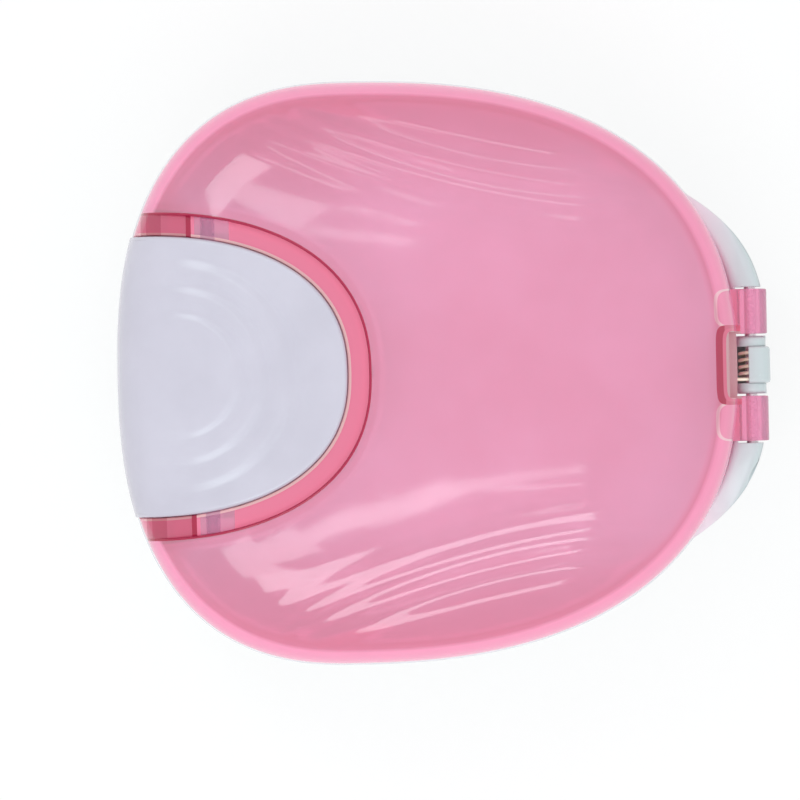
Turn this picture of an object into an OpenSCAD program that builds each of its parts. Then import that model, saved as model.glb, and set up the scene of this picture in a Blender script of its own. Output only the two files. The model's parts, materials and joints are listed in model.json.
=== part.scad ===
// Pocket denture case: an egg-shaped tray, a clear domed lid on a sprung rear hinge and a rocker
// button that fills the notch at the front of the lid. The button faces -Y, the hinge is at +Y,
// +Z is up, and the origin is under the middle of the case, on the surface that it stands on.

/* [Outline] */
// Width across the rim flange
case_w = 82.0; // [78:0.5:90]
// From the widest point forward to the front edge
front_len = 32.7; // [31:0.1:36]
// From the widest point back to the rear of the rim
rear_len = 54.4; // [52:0.2:60]
// Squareness of the front half of the outline (2 is an ellipse)
front_square = 2.49; // [2.3:0.01:2.7]
// Squareness of the rear half of the outline
rear_square = 2.42; // [2.3:0.01:2.6]

/* [Tray] */
// Height of the tray's rim above the table
tray_h = 22.0; // [20:0.5:26]
// Thickness of the tray's floor
floor_t = 2.0; // [1.5:0.1:3]
// Thickness of the tray's wall
tray_wall = 2.2; // [1.8:0.1:2.6]
// Radius of the rounded edge under the tray
foot_r = 7.0; // [5:0.5:9]
// How far the rim flange stands out from the wall
flange_out = 0.9; // [0.6:0.1:1.2]
// Thickness of the rim flange
flange_t = 1.8; // [1.2:0.1:2.4]
// Height of the locating lip above the rim
lip_h = 1.8; // [1.2:0.1:2.4]
// Thickness of the locating lip
lip_t = 1.0; // [0.8:0.1:1.3]

/* [Lid] */
// Height of the lid above the rim
lid_h = 19.0; // [17:0.5:23]
// Height of the straight lower part of the lid's side
skirt_h = 4.0; // [3:0.5:6]
// Squareness of the dome's profile
dome_square = 3.0; // [2.4:0.1:3.4]
// Thickness of the lid
lid_wall = 1.6; // [1.3:0.1:2]
// How far the lid's side stands back from the flange
lid_setback = 0.4; // [0.2:0.1:0.8]
// Gap between the closed lid and the rim
rim_gap = 0.2; // [0.15:0.05:0.3]

/* [Button] */
// Half width of the button at its front
button_half_w = 19.5; // [18:0.1:20.5]
// Length of the button's rounded part
button_len = 29.5; // [27:0.5:31]
// Squareness of the button's rounded end
button_square = 2.35; // [2.1:0.05:2.6]
// Thickness of the button's shell
button_wall = 1.8; // [1.4:0.1:2.2]
// How far the button's top lies below the dome
button_sink = 0.25; // [0.1:0.05:0.5]
// Running gap between the button and the lid
button_gap = 0.45; // [0.35:0.05:0.6]
// Free height under the button's front edge
button_travel = 1.5; // [1.4:0.1:2]

/* [Lid rim round the button] */
// Width of the sunken ledge that rings the button
ledge_w = 2.55; // [2.3:0.05:3]
// Depth of the ledge below the dome
ledge_drop = 1.4; // [1:0.1:1.8]
// Thickness of the skirt wall that hangs from the ledge
curtain_t = 1.5; // [1.2:0.1:1.6]
// How far that wall reaches below the rim
curtain_below = 3.0; // [2:0.5:4]
// Thickness of the tray's wall round the button's well
well_wall = 1.6; // [1.3:0.1:2]

/* [Latch] */
// Diameter of the button's pivot stubs
pivot_d = 1.7; // [1.5:0.1:1.8]
// Running clearance round a pivot stub, on radius
pivot_clear = 0.08; // [0.05:0.01:0.1]
// Height of the button's pivot above the rim
pivot_up = 10.0; // [9:0.5:11]
// Width of each pivot bracket along the case
bracket_len = 4.6; // [4.4:0.1:4.8]
// Width of each lid hook along the case
hook_len = 4.4; // [4:0.1:5]
// How far the hook's barb and the catch reach below the rim
hook_below = 3.5; // [3:0.5:5]
// Thickness of the barb and of the catch
catch_t = 2.2; // [1.8:0.1:2.6]
// How far the catch reaches over the barb
catch_lap = 0.9; // [0.7:0.05:1]
// Free height between barb and catch
catch_gap = 0.45; // [0.4:0.05:0.6]

/* [Hinge] */
// How far the hinge barrel reaches behind the rim
hinge_reach = 4.4; // [4.2:0.1:5]
// Radius of the tray's middle barrel
barrel_r = 2.7; // [2.6:0.05:3]
// Radius of the lid's knuckles
knuckle_r = 2.35; // [2.2:0.05:2.5]
// Width of each lid knuckle
knuckle_w = 6.3; // [5.5:0.1:7]
// Half width of the tray's middle barrel
barrel_half_w = 4.05; // [3.9:0.05:4.4]
// Gap at each end of a knuckle
knuckle_gap = 0.3; // [0.2:0.05:0.4]
// Diameter of the hinge pin
pin_d = 1.6; // [1.4:0.1:1.8]
// Running clearance round the pin, on radius
pin_clear = 0.06; // [0.03:0.01:0.1]

/* [Springs] */
// Wire of the hinge spring
hinge_wire = 0.5; // [0.4:0.05:0.55]
// Pitch of the hinge spring's coils
hinge_pitch = 0.95; // [0.92:0.01:1.05]
// Number of coils in the hinge spring
hinge_coils = 4.25; // [3.25:1:4.25]
// Mean radius of the hinge spring
hinge_coil_r = 1.6; // [1.5:0.05:1.65]
// Wire of the button spring
button_wire = 0.6; // [0.5:0.05:0.7]
// Mean radius of the button spring
button_coil_r = 2.6; // [2.4:0.1:3]
// Number of coils in the button spring
button_coils = 6; // [5:1:7]

/* [Hidden] */
$fn = 48;

// Resolution of the moulded shells
ring_n = 88;
dome_n = 11;
foot_n = 5;
end_n = 36;

// Places that follow from the driving sizes
overall_len = front_len + rear_len + hinge_reach;
wide_y = -overall_len / 2 + front_len; // where the case is widest
front_y = wide_y - front_len;
rear_y = wide_y + rear_len;
crown_h = lid_h - skirt_h;
lid_z = tray_h + rim_gap;
lip_clear = 0.25; // between the lid's side and the lip

// Hinge
hinge_y = rear_y + hinge_reach - barrel_r;
hinge_z = tray_h;
knuckle_x = barrel_half_w + knuckle_gap;
slot_half_w = knuckle_x + knuckle_w + knuckle_gap; // from the middle to an ear
ear_r = 1.8; // rounding of the ears over the pin
ear_peak = 3.94; // height of the ears' curve behind the rim
ear_bow = 0.000156; // how fast the ears fall back to the outline
spring_room = hinge_coil_r + hinge_wire / 2 + 0.3; // radius of the pocket for the coils
coil_x = hinge_coils * hinge_pitch / 2;
spring_half_w = coil_x + hinge_wire / 2 + 0.3;
notch_half_w = barrel_half_w + 0.55; // notch in the lid over the middle barrel
notch_y = rear_y - 1.8;
notch_wall = 2.2;
notch_side = 1.0;
shelf_z = hinge_z + hinge_coil_r + hinge_wire / 2 + 0.05;
shelf_t = 1.8;

// Button, its well and the lid's rim round it
button_y0 = front_y + 2.75; // where the button's sides start to round off
ledge_out = button_gap + ledge_w;
riser = 1.4; // thickness of the step from the ledge to the dome
well_e = ledge_out + 0.6; // the well's face, outside the button's outline
curtain_y = button_y0 + 13.65; // front end of the hanging wall
bracket_y1 = curtain_y - 0.25;
bracket_y0 = bracket_y1 - bracket_len;
pivot_y = bracket_y0 + pivot_d / 2 + 0.75;
pivot_z = tray_h + pivot_up;
bracket_in = button_half_w + 0.2; // inner face of a pivot bracket
bracket_t = 2.1;
bracket_top = pivot_z + pivot_d / 2 + 0.75;
hook_x0 = button_half_w + button_gap;
hook_x1 = hook_x0 + 2.1;
barb_y = bracket_y0 - 1.1; // rear face of the barb
hook_y0 = barb_y - hook_len;
barb_z = tray_h - hook_below;
catch_z = barb_z + catch_t + catch_gap;
catch_y = barb_y - catch_lap;
arm_x1 = button_half_w - 1.3;
arm_x0 = arm_x1 - 1.7;
arm_y1 = bracket_y1 - 2.2;
spring_y = pivot_y - 4.4; // place of the button spring
seat_z = 12.0; // top of the button spring's seat
pad_z = tray_h + 10.8; // underside of the button's spring pad
peg_r = button_coil_r - button_wire / 2 - 0.3;

// A point of the case's outline at angle t from the rear, moved inwards by d
function outline_point(t, d) =
    let (
        c = cos(t),
        s = sin(t),
        n = c < 0 ? front_square : rear_square,
        a = (c < 0 ? front_len : rear_len) - d
    )
    [(case_w / 2 - d) * sign(s) * pow(abs(s), 2 / n), wide_y + a * sign(c) * pow(abs(c), 2 / n)];

// Rear edge of the hinge ears at a distance x from the middle
function ear_y(x) = rear_y + ear_peak - ear_bow * pow(abs(x), 3.5);

// One ring of the tray: the outline moved in by d, with a share k of the hinge ears
function tray_ring(d, z, k) = [
    for (i = [0:ring_n - 1])
        let (
            p = outline_point(360 * i / ring_n, d),
            reach = p[1] > wide_y ? max(p[1], min(hinge_y + ear_r, ear_y(p[0]))) : p[1]
        )
        [p[0], p[1] + k * (reach - p[1]), z]
];

// One ring of a dome: the outline moved in by d and drawn in to a share of its size
function dome_ring(d, z, share) = [
    for (i = [0:ring_n - 1])
        let (p = outline_point(360 * i / ring_n, d))
        [share * p[0], wide_y + share * (p[1] - wide_y), z]
];

// Outline of the button's notch, moved outwards by e, open towards the front
function notch_outline(e) = concat(
    [[button_half_w + e, front_y - 10]],
    [
        for (i = [0:end_n])
            let (t = 90 - 180 * i / end_n, c = cos(t), s = sin(t), n = 2 / button_square)
            [
                (button_half_w + e) * sign(s) * pow(abs(s), n),
                button_y0 + (button_len + e) * pow(abs(c), n)
            ]
    ],
    [[-button_half_w - e, front_y - 10]]
);

// Closed skin over a stack of rings, with a fan of faces at each end
module loft(rings) {
    n = len(rings[0]);
    m = len(rings);
    middle_low = [0, wide_y, rings[0][0][2]];
    middle_high = [0, wide_y, rings[m - 1][0][2]];
    points = concat([for (r = rings) each r], [middle_low, middle_high]);
    faces = concat(
        [for (j = [0:m - 2], i = [0:n - 1]) let (k = (i + 1) % n)
            [j * n + i, j * n + k, (j + 1) * n + k]],
        [for (j = [0:m - 2], i = [0:n - 1]) let (k = (i + 1) % n)
            [j * n + i, (j + 1) * n + k, (j + 1) * n + i]],
        [for (i = [0:n - 1]) [m * n, (i + 1) % n, i]],
        [for (i = [0:n - 1]) [m * n + 1, (m - 1) * n + i, (m - 1) * n + (i + 1) % n]]
    );
    polyhedron(points = points, faces = faces, convexity = 6);
}

// Free-form moulding, kept at its own size and joined into one surface
module moulded() {
    resize([0, 0, 0]) union() children();
}

// Solid under the lid's dome: set in by d, its crown lowered by drop, standing on z0
module dome(d, drop, z0) {
    k = 2 / dome_square;
    crown = crown_h - drop;
    low = tray_h + skirt_h;
    loft(concat(
        [dome_ring(d, z0, 1)],
        [
            for (j = [0:dome_n - 1])
                let (a = 90 * (1 - j / dome_n))
                dome_ring(d, low + crown * pow(cos(a), k), pow(sin(a), k))
        ],
        [dome_ring(d, low + crown * 0.9995, 0.05)]
    ));
}

module notch_prism(e, z0, z1) {
    translate([0, 0, z0]) linear_extrude(z1 - z0) polygon(notch_outline(e));
}

module both_sides() {
    for (side = [0, 1]) mirror([side, 0, 0]) children();
}

module block(x0, x1, y0, y1, z0, z1) {
    translate([x0, y0, z0]) cube([x1 - x0, y1 - y0, z1 - z0]);
}

// Cylinder along X from x0 to x1
module cross_rod(r, x0, x1, y, z) {
    translate([x0, y, z]) rotate([0, 90, 0]) cylinder(r = r, h = x1 - x0);
}

module tray_outside() {
    foot_d = flange_out + 1.2;
    low_z = tray_h - flange_t;
    loft(concat(
        [
            for (i = [0:foot_n])
                let (a = 90 * i / foot_n)
                tray_ring(foot_d + foot_r * (1 - sin(a)), foot_r * (1 - cos(a)), 0)
        ],
        [
            tray_ring(flange_out + 0.4, low_z - 7, 0.3),
            tray_ring(flange_out + 0.2, low_z - 4, 0.75),
            tray_ring(flange_out, low_z - 1, 1),
            tray_ring(0.2, low_z, 1),
            tray_ring(0, low_z + 0.4, 1),
            tray_ring(0, tray_h - 0.3, 1),
            tray_ring(0.3, tray_h, 1)
        ]
    ));
}

module tray_inside() {
    top_d = lid_setback + lid_wall + lip_clear + lip_t;
    low_d = flange_out + 1.2 + tray_wall;
    bend_r = foot_r - floor_t;
    loft(concat(
        [
            for (i = [0:foot_n])
                let (a = 90 * i / foot_n)
                dome_ring(low_d + bend_r * (1 - sin(a)), floor_t + bend_r * (1 - cos(a)), 1)
        ],
        [dome_ring(top_d, tray_h - 2, 1), dome_ring(top_d, tray_h + lip_h + 1, 1)]
    ));
}

module locating_lip() {
    side = notch_half_w + notch_side + 0.6;
    difference() {
        translate([0, 0, tray_h - 1])
            linear_extrude(lip_h + 1)
                polygon([for (p = dome_ring(lid_setback + lid_wall + lip_clear, 0, 1)) [p[0], p[1]]]);
        block(-button_half_w - 6, button_half_w + 6, front_y - 1, barb_y + 1, tray_h - 2, tray_h + 9);
        block(-side, side, rear_y - 8, rear_y + 1, tray_h - 2, tray_h + 9);
    }
}

// Bracket that carries one of the button's pivot stubs, open at the top so that the stub snaps in
module pivot_bracket() {
    x1 = bracket_in + bracket_t;
    difference() {
        union() {
            block(bracket_in, x1, bracket_y0 + 1, bracket_y1, floor_t - 0.5, pivot_z);
            block(bracket_in, x1, bracket_y0, bracket_y1, pivot_z - 4, bracket_top);
        }
        block(bracket_in - 1, x1 + 1, pivot_y - pivot_d * 0.4, pivot_y + pivot_d * 0.4, pivot_z,
            bracket_top + 1);
    }
}

// Cup for the lower end of the button spring, on crossed ribs
module spring_seat() {
    r = button_coil_r + button_wire / 2 + 0.3;
    translate([0, spring_y, 0]) {
        difference() {
            translate([0, 0, seat_z - 1.6]) cylinder(r = r + 0.8, h = 4.6);
            translate([0, 0, seat_z]) cylinder(r = r, h = 9);
        }
        block(-r, r, -0.8, 0.8, floor_t - 0.5, seat_z - 1);
        block(-0.8, 0.8, -r, r, floor_t - 0.5, seat_z - 1);
    }
}

// Rib that carries the middle barrel on the tray's rear wall
module barrel_rib() {
    y1 = hinge_y + barrel_r;
    translate([-barrel_half_w, 0, 0])
        rotate([90, 0, 90])
            linear_extrude(2 * barrel_half_w)
                polygon([
                    [rear_y - 2.6, tray_h - 12.5],
                    [rear_y - 0.8, tray_h - 12.5],
                    [y1 - 0.9, tray_h - 7],
                    [y1 - 0.6, tray_h],
                    [rear_y - 2.6, tray_h]
                ]);
}

// Rounded ear over each end of the pin, fading into the rim
module hinge_ear() {
    far = slot_half_w + 11;
    intersection() {
        translate([slot_half_w, hinge_y, hinge_z])
            rotate([0, 0, -28])
                rotate([0, 90, 0])
                    translate([0, 0, -3]) cylinder(r1 = ear_r + 0.4, r2 = 0.3, h = 14);
        translate([0, 0, tray_h - 4])
            linear_extrude(4 + ear_r)
                polygon(concat(
                    [[slot_half_w - 0.6, rear_y - 9]],
                    [for (x = [slot_half_w - 0.6:1:far]) [x, min(hinge_y + ear_r, ear_y(x)) - 0.15]],
                    [[far, rear_y - 9]]
                ));
    }
}

module tray_moulding() {
    moulded() {
        difference() {
            union() {
                tray_outside();
                locating_lip();
                both_sides() hinge_ear();
            }
            difference() {
                tray_inside();
                difference() {
                    notch_prism(well_e + well_wall, 0, tray_h);
                    notch_prism(well_e, -1, tray_h + 1);
                }
            }
            block(-slot_half_w, slot_half_w, rear_y - 0.3, hinge_y + 9, -1, tray_h + 9);
            both_sides()
                block(hook_x0 - 0.4, hook_x1 + 0.4, hook_y0 - 0.5, barb_y, barb_z - 1, tray_h + 9);
        }
        both_sides() pivot_bracket();
        spring_seat();
        barrel_rib();
    }
}

module tray() {
    leg_y = hinge_y + hinge_coil_r;
    color("ghostwhite")
        difference() {
            union() {
                tray_moulding();
                cross_rod(barrel_r, -spring_half_w, spring_half_w, hinge_y, hinge_z);
                both_sides()
                    cross_rod(barrel_r - 0.6, spring_half_w - 0.5, barrel_half_w, hinge_y, hinge_z);
            }
            both_sides() cross_rod(knuckle_r + 0.3, barrel_half_w, slot_half_w, hinge_y, hinge_z);
            cross_rod(spring_room, -spring_half_w, spring_half_w, hinge_y, hinge_z);
            block(-spring_half_w, spring_half_w, hinge_y - barrel_r - 1, hinge_y - 0.45, hinge_z, hinge_z + 9);
            block(-coil_x - 0.5, -coil_x + 0.5, leg_y - 0.8, leg_y + 0.35, hinge_z - 6.5, hinge_z);
            cross_rod(pin_d / 2 + pin_clear, -slot_half_w - 1.9, slot_half_w + 9, hinge_y, hinge_z);
            cross_rod(pivot_d / 2 + pivot_clear, -bracket_in - 9, bracket_in + 9, pivot_y, pivot_z);
        }
}

// Space under the ledge, on both sides of the hanging wall
module lid_hollow_by_button() {
    difference() {
        notch_prism(ledge_out + riser + 0.01, tray_h - 5, 99);
        difference() {
            notch_prism(button_gap + curtain_t, 0, 100);
            block(-99, 99, front_y + 4.6, curtain_y, 0, 100);
        }
    }
}

// Hook under the ledge, with its barb pointing to the rear
module lid_hook() {
    intersection() {
        difference() {
            union() {
                block(hook_x0, hook_x1, hook_y0, catch_y - 1.3, barb_z, tray_h + 20);
                block(hook_x0, hook_x1, hook_y0, barb_y, barb_z, barb_z + catch_t);
            }
            translate([0, barb_y, barb_z])
                rotate([45, 0, 0])
                    block(hook_x0 - 1, hook_x1 + 1, -0.6, 0.6, -0.6, 0.6);
        }
        translate([0, 0, -ledge_drop - 0.5]) dome(lid_setback + 0.3, 0, tray_h - 9);
    }
}

module lid_moulding() {
    moulded() {
        difference() {
            dome(lid_setback, 0, lid_z);
            difference() {
                dome(lid_setback + lid_wall, lid_wall, lid_z - 1);
                notch_prism(ledge_out + riser, 0, 99);
                block(-notch_half_w - notch_side, notch_half_w + notch_side, notch_y - notch_wall,
                    rear_y + 9, 0, 99);
            }
            intersection() {
                translate([0, 0, -ledge_drop - lid_wall]) dome(lid_setback + lid_wall, 0, lid_z - 1);
                lid_hollow_by_button();
            }
            difference() {
                notch_prism(ledge_out, 0, 99);
                translate([0, 0, -ledge_drop]) dome(lid_setback - 1, 0, lid_z - 1);
            }
            notch_prism(button_gap, 0, 99);
            block(-notch_half_w, notch_half_w, notch_y, rear_y + 9, shelf_z + shelf_t, 99);
            block(-notch_half_w, notch_half_w, notch_y, rear_y + 9, 0, shelf_z);
        }
        difference() {
            notch_prism(button_gap + curtain_t, tray_h - curtain_below, lid_z + 1);
            notch_prism(button_gap, 0, 99);
            block(-99, 99, front_y - 20, curtain_y, 0, 99);
        }
        both_sides() lid_hook();
    }
}

module lid() {
    color([0.93, 0.45, 0.62, 0.6])
        difference() {
            union() {
                lid_moulding();
                both_sides() {
                    cross_rod(knuckle_r, knuckle_x, knuckle_x + knuckle_w, hinge_y, hinge_z);
                    block(knuckle_x, knuckle_x + knuckle_w, notch_y - 0.1, hinge_y, lid_z, hinge_z + knuckle_r);
                }
            }
            cross_rod(pin_d / 2 + pin_clear, -slot_half_w, slot_half_w, hinge_y, hinge_z);
        }
}

module button_moulding() {
    side_z = pivot_z - 3;
    moulded() {
        difference() {
            intersection() {
                translate([0, 0, -button_sink]) dome(0, 0, tray_h - 2);
                notch_prism(0, tray_h + button_travel, 99);
            }
            intersection() {
                translate([0, 0, -button_sink]) dome(button_wall, button_wall, tray_h - 2);
                notch_prism(-1.4, 0, 98);
            }
            block(-99, 99, front_y + 4.5, bracket_y1, 0, side_z);
            block(-99, 99, bracket_y1 - 1, 0, 0, pivot_z + 2);
        }
        both_sides() {
            block(arm_x0, arm_x1, catch_y + 1.2, arm_y1, catch_z, side_z + 1);
            block(arm_x0, arm_x1, bracket_y0 - 0.4, arm_y1, side_z, pivot_z + 3);
            block(arm_x0, hook_x1 - 0.1, catch_y, catch_y + 1.3, catch_z, catch_z + catch_t);
        }
        intersection() {
            translate([0, 0, -button_sink]) dome(button_wall / 2, button_wall / 2, tray_h - 2);
            translate([0, spring_y, 0]) {
                translate([0, 0, pad_z]) cylinder(r = button_coil_r + button_wire / 2 + 0.4, h = 9);
                translate([0, 0, pad_z - 2]) cylinder(r = peg_r, h = 3);
            }
        }
    }
}

module push_button() {
    color("ghostwhite")
        union() {
            button_moulding();
            both_sides() {
                cross_rod(pivot_d / 2, arm_x1 - 1, bracket_in + bracket_t - 0.2, pivot_y, pivot_z);
                cross_rod(pivot_d / 2 + 0.9, arm_x1 - 1.6, bracket_in - 0.3, pivot_y, pivot_z);
            }
        }
}

module hinge_pin() {
    color("silver")
        cross_rod(pin_d / 2, -slot_half_w - 1.8, slot_half_w + 1.8, hinge_y, hinge_z);
}

// Round wire of radius r along a path that never runs along the direction up
module wire(path, r, up) {
    n = len(path);
    sides = 6;
    points = [
        for (i = [0:n - 1])
            let (
                t0 = path[min(i + 1, n - 1)] - path[max(i - 1, 0)],
                t = t0 / norm(t0),
                a0 = up - (up * t) * t,
                a = a0 / norm(a0),
                b = cross(t, a)
            )
            for (k = [0:sides - 1]) path[i] + r * (cos(60 * k) * a + sin(60 * k) * b)
    ];
    faces = concat(
        [for (i = [0:n - 2], k = [0:sides - 1]) let (m = (k + 1) % sides)
            [i * sides + k, (i + 1) * sides + k, (i + 1) * sides + m]],
        [for (i = [0:n - 2], k = [0:sides - 1]) let (m = (k + 1) % sides)
            [i * sides + k, (i + 1) * sides + m, i * sides + m]],
        [[for (k = [0:sides - 1]) k]],
        [[for (k = [sides - 1:-1:0]) (n - 1) * sides + k]]
    );
    polyhedron(points = points, faces = faces, convexity = 10);
}

// Least gap between the curls of a wire, from points that are more than half a turn apart
function curl_gap(path, r, apart) = min([
    for (i = [0:len(path) - 1], j = [i + apart:1:len(path) - 1]) norm(path[i] - path[j]) - 2 * r
]);

hinge_path = concat(
    [[-coil_x, hinge_y + hinge_coil_r, hinge_z - 5.5], [-coil_x, hinge_y + hinge_coil_r, hinge_z - 0.7]],
    [
        for (i = [0:8 * hinge_coils])
            [
                -coil_x + hinge_pitch * i / 8,
                hinge_y + hinge_coil_r * cos(45 * i),
                hinge_z + hinge_coil_r * sin(45 * i)
            ]
    ],
    [[coil_x, hinge_y - 0.7, hinge_z + hinge_coil_r], [coil_x, notch_y + 0.35, hinge_z + hinge_coil_r]]
);

module hinge_spring() {
    echo(least_gap_hinge_spring = curl_gap(hinge_path, hinge_wire / 2, 6));
    color("silver") wire(hinge_path, hinge_wire / 2, [1, 0, 0]);
}

button_spring_low = seat_z + button_wire / 2 + 0.02;
button_spring_high = pad_z - button_wire / 2 - 0.02;
button_path = concat(
    [[button_coil_r, spring_y - button_wire, button_spring_low]],
    [
        for (i = [0:8 * button_coils])
            [
                button_coil_r * cos(45 * i),
                spring_y + button_coil_r * sin(45 * i),
                button_spring_low + (button_spring_high - button_spring_low) * i / (8 * button_coils)
            ]
    ],
    [[button_coil_r, spring_y + button_wire, button_spring_high]]
);

module button_spring() {
    echo(least_gap_button_spring = curl_gap(button_path, button_wire / 2, 5));
    color("silver") wire(button_path, button_wire / 2, [0, 0, 1]);
}

tray();
lid();
push_button();
hinge_pin();
hinge_spring();
button_spring();
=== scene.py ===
"""Dresses the denture case: a white tray, a clear pink lid and a white push button."""

import json
import math

import bpy
import bmesh
import numpy as np
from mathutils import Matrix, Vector

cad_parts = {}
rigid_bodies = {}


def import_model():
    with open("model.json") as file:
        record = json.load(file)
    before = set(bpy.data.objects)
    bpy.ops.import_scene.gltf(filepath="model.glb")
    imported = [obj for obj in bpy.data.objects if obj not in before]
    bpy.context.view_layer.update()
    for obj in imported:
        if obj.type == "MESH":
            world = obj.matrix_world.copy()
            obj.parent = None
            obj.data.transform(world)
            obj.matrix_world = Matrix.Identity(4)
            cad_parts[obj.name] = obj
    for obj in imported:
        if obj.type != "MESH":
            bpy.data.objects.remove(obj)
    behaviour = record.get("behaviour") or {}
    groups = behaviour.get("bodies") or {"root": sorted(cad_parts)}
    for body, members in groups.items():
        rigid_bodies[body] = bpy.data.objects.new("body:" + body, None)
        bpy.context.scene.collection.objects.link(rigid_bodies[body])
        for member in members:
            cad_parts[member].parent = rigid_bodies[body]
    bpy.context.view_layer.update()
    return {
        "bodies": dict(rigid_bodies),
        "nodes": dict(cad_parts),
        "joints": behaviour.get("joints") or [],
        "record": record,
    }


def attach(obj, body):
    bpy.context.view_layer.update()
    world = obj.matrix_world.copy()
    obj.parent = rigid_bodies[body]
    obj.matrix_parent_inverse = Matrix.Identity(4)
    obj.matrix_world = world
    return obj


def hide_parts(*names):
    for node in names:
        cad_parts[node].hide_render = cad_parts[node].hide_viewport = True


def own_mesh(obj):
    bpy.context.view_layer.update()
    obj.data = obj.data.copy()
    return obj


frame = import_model()

MM = 0.001

# ---------------------------------------------------------------- sizes in mm, as in the part's source
CASE_W, FRONT_LEN, REAR_LEN, HINGE_REACH = 82.0, 32.7, 54.4, 4.4
FRONT_SQ, REAR_SQ, DOME_SQ = 2.49, 2.42, 3
WIDE_Y = -(FRONT_LEN + REAR_LEN + HINGE_REACH) / 2 + FRONT_LEN
FRONT_Y, REAR_Y = WIDE_Y - FRONT_LEN, WIDE_Y + REAR_LEN
TRAY_H, FLOOR_T, TRAY_WALL, FOOT_R = 22.0, 2.0, 2.2, 7.0
FLANGE_OUT, FLANGE_T, LIP_H, LIP_T, LIP_CLEAR = 0.9, 1.8, 1.8, 1.0, 0.25
LID_H, SKIRT_H, LID_WALL, LID_SETBACK, RIM_GAP = 19.0, 4.0, 1.6, 0.4, 0.2
CROWN_H, LID_Z = LID_H - SKIRT_H, TRAY_H + RIM_GAP
BTN_W, BTN_LEN, BTN_SQ, BTN_WALL, BTN_SINK, BTN_GAP, BTN_TRAVEL = 19.5, 29.5, 2.35, 1.8, 0.25, 0.45, 1.5
BTN_Y0 = FRONT_Y + 2.75
LEDGE_OUT, LEDGE_DROP, RISER = 3.0, 1.4, 1.4
CURTAIN_T, CURTAIN_BELOW, WELL_WALL = 1.5, 3.0, 1.6
WELL_E = LEDGE_OUT + 0.6
CURTAIN_Y = BTN_Y0 + 13.65
BRACKET_Y1 = CURTAIN_Y - 0.25
BRACKET_Y0 = BRACKET_Y1 - 4.6
PIVOT_D, PIVOT_CLEAR = 1.7, 0.08
PIVOT_Y, PIVOT_Z = BRACKET_Y0 + PIVOT_D / 2 + 0.75, TRAY_H + 10.0
BRACKET_IN, BRACKET_T = BTN_W + 0.2, 2.1
BRACKET_TOP = PIVOT_Z + PIVOT_D / 2 + 0.75
HOOK_X0 = BTN_W + BTN_GAP
HOOK_X1 = HOOK_X0 + 2.1
BARB_Y = BRACKET_Y0 - 1.1
HOOK_Y0 = BARB_Y - 4.4
BARB_Z, CATCH_T = TRAY_H - 3.5, 2.2
CATCH_Z, CATCH_Y = BARB_Z + CATCH_T + 0.45, BARB_Y - 0.9
ARM_X1 = BTN_W - 1.3
ARM_X0, ARM_Y1 = ARM_X1 - 1.7, BRACKET_Y1 - 2.2
SPRING_Y, SEAT_Z, PAD_Z = PIVOT_Y - 4.4, 12.0, TRAY_H + 10.8
BARREL_R, KNUCKLE_R, KNUCKLE_W, BARREL_HW, KNUCKLE_GAP = 2.7, 2.35, 6.3, 4.05, 0.3
PIN_D, PIN_CLEAR = 1.6, 0.06
HINGE_Y, HINGE_Z = REAR_Y + HINGE_REACH - BARREL_R, TRAY_H
KNUCKLE_X = BARREL_HW + KNUCKLE_GAP
SLOT_HW = KNUCKLE_X + KNUCKLE_W + KNUCKLE_GAP
EAR_R, EAR_PEAK, EAR_BOW = 1.8, 3.94, 0.000156
HINGE_WIRE, HINGE_PITCH, HINGE_COILS, HINGE_COIL_R = 0.5, 0.95, 4.25, 1.6
BTN_WIRE, BTN_COIL_R, BTN_COILS = 0.6, 2.6, 6
SPRING_ROOM = HINGE_COIL_R + HINGE_WIRE / 2 + 0.3
COIL_X = HINGE_COILS * HINGE_PITCH / 2
SPRING_HW = COIL_X + HINGE_WIRE / 2 + 0.3
NOTCH_HW, NOTCH_Y, NOTCH_WALL, NOTCH_SIDE = BARREL_HW + 0.55, REAR_Y - 1.8, 2.2, 1.0
SHELF_Z = HINGE_Z + HINGE_COIL_R + HINGE_WIRE / 2 + 0.05
SHELF_T = 1.8
HOOK_SEAT_Y, SIDE_Z = CATCH_Y - 1.3, PIVOT_Z - 3
NOSE_Y = FRONT_Y + 4.5     # rear of the button's full-height nose

# ---------------------------------------------------------------- sizes in mm that only the scene has
SEEN_GAP = 0.08                             # the gap round the button as it looks from above
NOTCH_FLARE, LEDGE_FLARE, BTN_EDGE = 0.14, 0.35, 0.5   # rounding of the edges round the button
BARREL_EDGE, BARREL_END_EDGE, BARREL_END_STEP = 0.48, 0.7, 0.6
ROD_EDGE, BOSS_EDGE = 0.2, 0.1              # rounding of pins, stubs and knuckles, and of the stubs' bosses
BARB_CUT = 0.6                              # half side of the cut that slopes the barb
WINDOW_IN, LEG_SLOT_HW = 0.45, 0.5          # window over the spring, and slot for its leg
EAR_LEN, EAR_HIGH, EAR_SINK = 11.4, 1.86, 1.2
EAR_ACROSS, EAR_UP = 0.72, 0.55             # powers that round an ear across and upwards
RIB_DEEP, RIB_BEND = 12.5, 7.0              # the hinge's rib below the rim, and where it leans out
GROOVE_OUT, GROOVE_IN, GROOVE_DEEP = 0.27, 0.6, 0.4    # groove in the rim where the lid's edge meets it
BTN_SKIN, BOSS_OUT = 1.4, 0.9               # the button's wall in plan, and its bosses' step round a stub
POST_OUT, PEG_ROOM = 0.4, 0.3               # the button's spring seat past the wire, and its peg inside it
CUP_ROOM, CUP_WALL, CUP_DEEP, CUP_FLOOR, CUP_RIB_HW = 0.3, 0.8, 3.0, 1.6, 0.8   # cup under that spring
FAR = 99.0                                  # past every part of the case

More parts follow.
